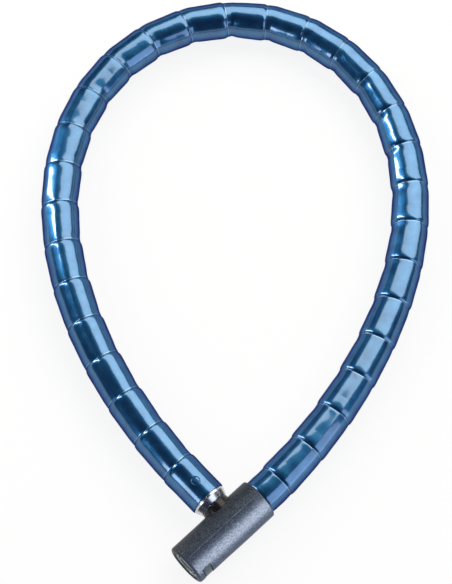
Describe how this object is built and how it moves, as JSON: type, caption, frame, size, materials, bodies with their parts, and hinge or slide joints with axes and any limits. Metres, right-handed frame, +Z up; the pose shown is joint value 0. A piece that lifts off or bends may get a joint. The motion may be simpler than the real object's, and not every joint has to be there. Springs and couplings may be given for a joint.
{
  "type": "cable lock",
  "caption": "Armoured cable lock: nested steel shells on a wire rope in a clear blue sleeve, closed by a keyed lock head.",
  "frame": {"origin": "middle of the closed loop's footprint, on the surface it lies on", "axes": "+Y along the long way of the loop, away from the lock head; +Z up, square to the loop"},
  "size_m": [0.226, 0.3568, 0.0244],
  "materials": {
    "shell_steel": "satin",
    "rope_steel": "satin",
    "blue_sleeve": "gloss",
    "cover_plastic": "matte",
    "catch_plastic": "satin",
    "barrel_steel": "satin",
    "housing_brass": "satin",
    "pin_steel": "satin",
    "face_steel": "satin",
    "port_gloss": "gloss",
    "socket_steel": "satin",
    "plug_steel": "satin",
    "spring_steel": "satin",
    "cam_steel": "satin",
    "wafer_brass": "satin",
    "shutter_steel": "satin",
    "latch_steel": "satin",
    "ferrule_chrome": "polished",
    "bolt_chrome": "polished",
    "seal_rubber": "matte"
  },
  "bodies": {
    "lock_head": {"head_cover": "cover_plastic", "cover_catch": "catch_plastic", "lock_barrel": "barrel_steel", "cylinder_housing": "housing_brass", "housing_pin": "pin_steel", "key_face_ring": "face_steel", "port_ring": "port_gloss", "rope_socket": "socket_steel", "rope_lock_pin": "pin_steel", "entry_nose": "shell_steel", "wire_rope": "rope_steel", "pvc_sleeve": "blue_sleeve", "latch_spring": "spring_steel"},
    "shells_01_02": {"shell_01": "shell_steel", "shell_02": "shell_steel"},
    "shells_03_04": {"shell_03": "shell_steel", "shell_04": "shell_steel"},
    "shells_05_06": {"shell_05": "shell_steel", "shell_06": "shell_steel"},
    "shells_07_08": {"shell_07": "shell_steel", "shell_08": "shell_steel"},
    "shells_09_10": {"shell_09": "shell_steel", "shell_10": "shell_steel"},
    "shell_11": {"shell_11": "shell_steel"},
    "shell_12": {"shell_12": "shell_steel"},
    "shell_13": {"shell_13": "shell_steel"},
    "shell_14": {"shell_14": "shell_steel"},
    "shell_15": {"shell_15": "shell_steel"},
    "shells_28_29": {"shell_28": "shell_steel", "shell_29": "shell_steel"},
    "shells_26_27": {"shell_26": "shell_steel", "shell_27": "shell_steel"},
    "shells_24_25": {"shell_24": "shell_steel", "shell_25": "shell_steel"},
    "shells_22_23": {"shell_22": "shell_steel", "shell_23": "shell_steel"},
    "shells_20_21": {"shell_20": "shell_steel", "shell_21": "shell_steel"},
    "shell_19": {"shell_19": "shell_steel"},
    "shell_18": {"shell_18": "shell_steel"},
    "shell_17": {"shell_17": "shell_steel"},
    "shell_16": {"shell_16": "shell_steel"},
    "free_end": {"end_tube": "shell_steel", "end_ferrule": "ferrule_chrome", "locking_bolt": "bolt_chrome", "bolt_seal_ring": "seal_rubber", "end_cross_pin": "pin_steel", "end_rope_crimp": "socket_steel"},
    "plug": {"key_plug": "plug_steel", "plug_clip": "spring_steel", "plug_cam": "cam_steel", "wafer_springs": "spring_steel", "shutter_spring": "spring_steel"},
    "latch": {"latch_slider": "latch_steel"},
    "shutter": {"dust_shutter": "shutter_steel"},
    "wafer_1": {"wafer_1": "wafer_brass"},
    "wafer_2": {"wafer_2": "wafer_brass"},
    "wafer_3": {"wafer_3": "wafer_brass"},
    "wafer_4": {"wafer_4": "wafer_brass"}
  },
  "joints": [
    {"name": "bolt_pull", "type": "slide", "parent": "lock_head", "child": "free_end", "axis": [-0.7071, 0.7071, 0], "range_m": [0, 0.085], "deforming": ["pvc_sleeve", "wire_rope"]},
    {"name": "bend_01", "type": "hinge", "parent": "lock_head", "child": "shells_01_02", "pos_m": [0.02467, -0.12453, 0.0122], "axis": [0, 0, 1], "range_deg": [0, 12.84]},
    {"name": "bend_03", "type": "hinge", "parent": "shells_01_02", "child": "shells_03_04", "pos_m": [0.05574, -0.0854, 0.0122], "axis": [0, 0, 1], "range_deg": [0, 3.51]},
    {"name": "bend_05", "type": "hinge", "parent": "shells_03_04", "child": "shells_05_06", "pos_m": [0.08043, -0.04197, 0.0122], "axis": [0, 0, 1], "range_deg": [-1.88, 0]},
    {"name": "bend_07", "type": "hinge", "parent": "shells_05_06", "child": "shells_07_08", "pos_m": [0.09705, 0.00513, 0.0122], "axis": [0, 0, 1], "range_deg": [-4.42, 0]},
    {"name": "bend_09", "type": "hinge", "parent": "shells_07_08", "child": "shells_09_10", "pos_m": [0.10235, 0.05473, 0.0122], "axis": [0, 0, 1], "range_deg": [-5.02, 0]},
    {"name": "bend_11", "type": "hinge", "parent": "shells_09_10", "child": "shell_11", "pos_m": [0.09202, 0.10344, 0.0122], "axis": [0, 0, 1], "range_deg": [-4.01, 0]},
    {"name": "bend_12", "type": "hinge", "parent": "shell_11", "child": "shell_12", "pos_m": [0.07994, 0.12533, 0.0122], "axis": [0, 0, 1], "range_deg": [-3.22, 0]},
    {"name": "bend_13", "type": "hinge", "parent": "shell_12", "child": "shell_13", "pos_m": [0.06326, 0.14395, 0.0122], "axis": [0, 0, 1], "range_deg": [-2.69, 0]},
    {"name": "bend_14", "type": "hinge", "parent": "shell_13", "child": "shell_14", "pos_m": [0.04255, 0.15796, 0.0122], "axis": [0, 0, 1], "range_deg": [-2.4, 0]},
    {"name": "bend_15", "type": "hinge", "parent": "shell_14", "child": "shell_15", "pos_m": [0.01896, 0.16622, 0.0122], "axis": [0, 0, 1], "range_deg": [-2.39, 0]},
    {"name": "bend_30", "type": "hinge", "parent": "free_end", "child": "shells_28_29", "pos_m": [-0.03013, -0.11286, 0.0122], "axis": [0, 0, 1], "range_deg": [0, 13.23]},
    {"name": "bend_28", "type": "hinge", "parent": "shells_28_29", "child": "shells_26_27", "pos_m": [-0.06105, -0.07362, 0.0122], "axis": [0, 0, 1], "range_deg": [-1.39, 0]},
    {"name": "bend_26", "type": "hinge", "parent": "shells_26_27", "child": "shells_24_25", "pos_m": [-0.08494, -0.02975, 0.0122], "axis": [0, 0, 1], "range_deg": [-12.28, 0]},
    {"name": "bend_24", "type": "hinge", "parent": "shells_24_25", "child": "shells_22_23", "pos_m": [-0.09957, 0.01798, 0.0122], "axis": [0, 0, 1], "range_deg": [-10.73, 0]},
    {"name": "bend_22", "type": "hinge", "parent": "shells_22_23", "child": "shells_20_21", "pos_m": [-0.10139, 0.0678, 0.0122], "axis": [0, 0, 1], "range_deg": [-4.15, 0]},
    {"name": "bend_20", "type": "hinge", "parent": "shells_20_21", "child": "shell_19", "pos_m": [-0.08634, 0.11524, 0.0122], "axis": [0, 0, 1], "range_deg": [0, 0.62]},
    {"name": "bend_19", "type": "hinge", "parent": "shell_19", "child": "shell_18", "pos_m": [-0.07179, 0.13557, 0.0122], "axis": [0, 0, 1], "range_deg": [0, 1.22]},
    {"name": "bend_18", "type": "hinge", "parent": "shell_18", "child": "shell_17", "pos_m": [-0.05288, 0.15193, 0.0122], "axis": [0, 0, 1], "range_deg": [0, 1.77]},
    {"name": "bend_17", "type": "hinge", "parent": "shell_17", "child": "shell_16", "pos_m": [-0.03049, 0.16305, 0.0122], "axis": [0, 0, 1], "range_deg": [0, 2.17]},
    {"name": "key_turn", "type": "hinge", "parent": "lock_head", "child": "plug", "pos_m": [0.0031, -0.14609, 0.0122], "axis": [0.7071, 0.7071, 0], "range_deg": [0, 90]},
    {"name": "latch_slide", "type": "slide", "parent": "lock_head", "child": "latch", "axis": [0.7071, 0.7071, 0], "range_m": [0, 0.00181], "deforming": ["latch_spring"]},
    {"name": "shutter_flap", "type": "hinge", "parent": "plug", "child": "shutter", "pos_m": [-0.01875, -0.16794, 0.01405], "axis": [0.7071, -0.7071, 0], "range_deg": [0, 85], "stiffness_Nm_per_rad": 0.0005, "deforming": ["shutter_spring"]},
    {"name": "wafer_1_slide", "type": "slide", "parent": "plug", "child": "wafer_1", "axis": [0.7071, -0.7071, 0], "range_m": [0, 0.0008], "deforming": ["wafer_springs"]},
    {"name": "wafer_2_slide", "type": "slide", "parent": "plug", "child": "wafer_2", "axis": [-0.7071, 0.7071, 0], "range_m": [0, 0.0008]},
    {"name": "wafer_3_slide", "type": "slide", "parent": "plug", "child": "wafer_3", "axis": [0.7071, -0.7071, 0], "range_m": [0, 0.0008]},
    {"name": "wafer_4_slide", "type": "slide", "parent": "plug", "child": "wafer_4", "axis": [-0.7071, 0.7071, 0], "range_m": [0, 0.0008]}
  ],
  "couplings": [
    {"joint": "bend_01", "follows": "bolt_pull", "rad_per_m": 2.6332},
    {"joint": "bend_03", "follows": "bolt_pull", "rad_per_m": 0.71703},
    {"joint": "bend_05", "follows": "bolt_pull", "rad_per_m": -0.38225},
    {"joint": "bend_07", "follows": "bolt_pull", "rad_per_m": -0.90353},
    {"joint": "bend_09", "follows": "bolt_pull", "rad_per_m": -1.0277},
    {"joint": "bend_11", "follows": "bolt_pull", "rad_per_m": -0.81885},
    {"joint": "bend_12", "follows": "bolt_pull", "rad_per_m": -0.65724},
    {"joint": "bend_13", "follows": "bolt_pull", "rad_per_m": -0.54821},
    {"joint": "bend_14", "follows": "bolt_pull", "rad_per_m": -0.48957},
    {"joint": "bend_15", "follows": "bolt_pull", "rad_per_m": -0.48619},
    {"joint": "bend_30", "follows": "bolt_pull", "rad_per_m": 2.7122},
    {"joint": "bend_28", "follows": "bolt_pull", "rad_per_m": -0.2806},
    {"joint": "bend_26", "follows": "bolt_pull", "rad_per_m": -2.5179},
    {"joint": "bend_24", "follows": "bolt_pull", "rad_per_m": -2.1989},
    {"joint": "bend_22", "follows": "bolt_pull", "rad_per_m": -0.84816},
    {"joint": "bend_20", "follows": "bolt_pull", "rad_per_m": 0.12319},
    {"joint": "bend_19", "follows": "bolt_pull", "rad_per_m": 0.24567},
    {"joint": "bend_18", "follows": "bolt_pull", "rad_per_m": 0.36021},
    {"joint": "bend_17", "follows": "bolt_pull", "rad_per_m": 0.44103},
    {"joint": "latch_slide", "follows": "key_turn", "m_per_rad": 0.0011459}
  ]
}
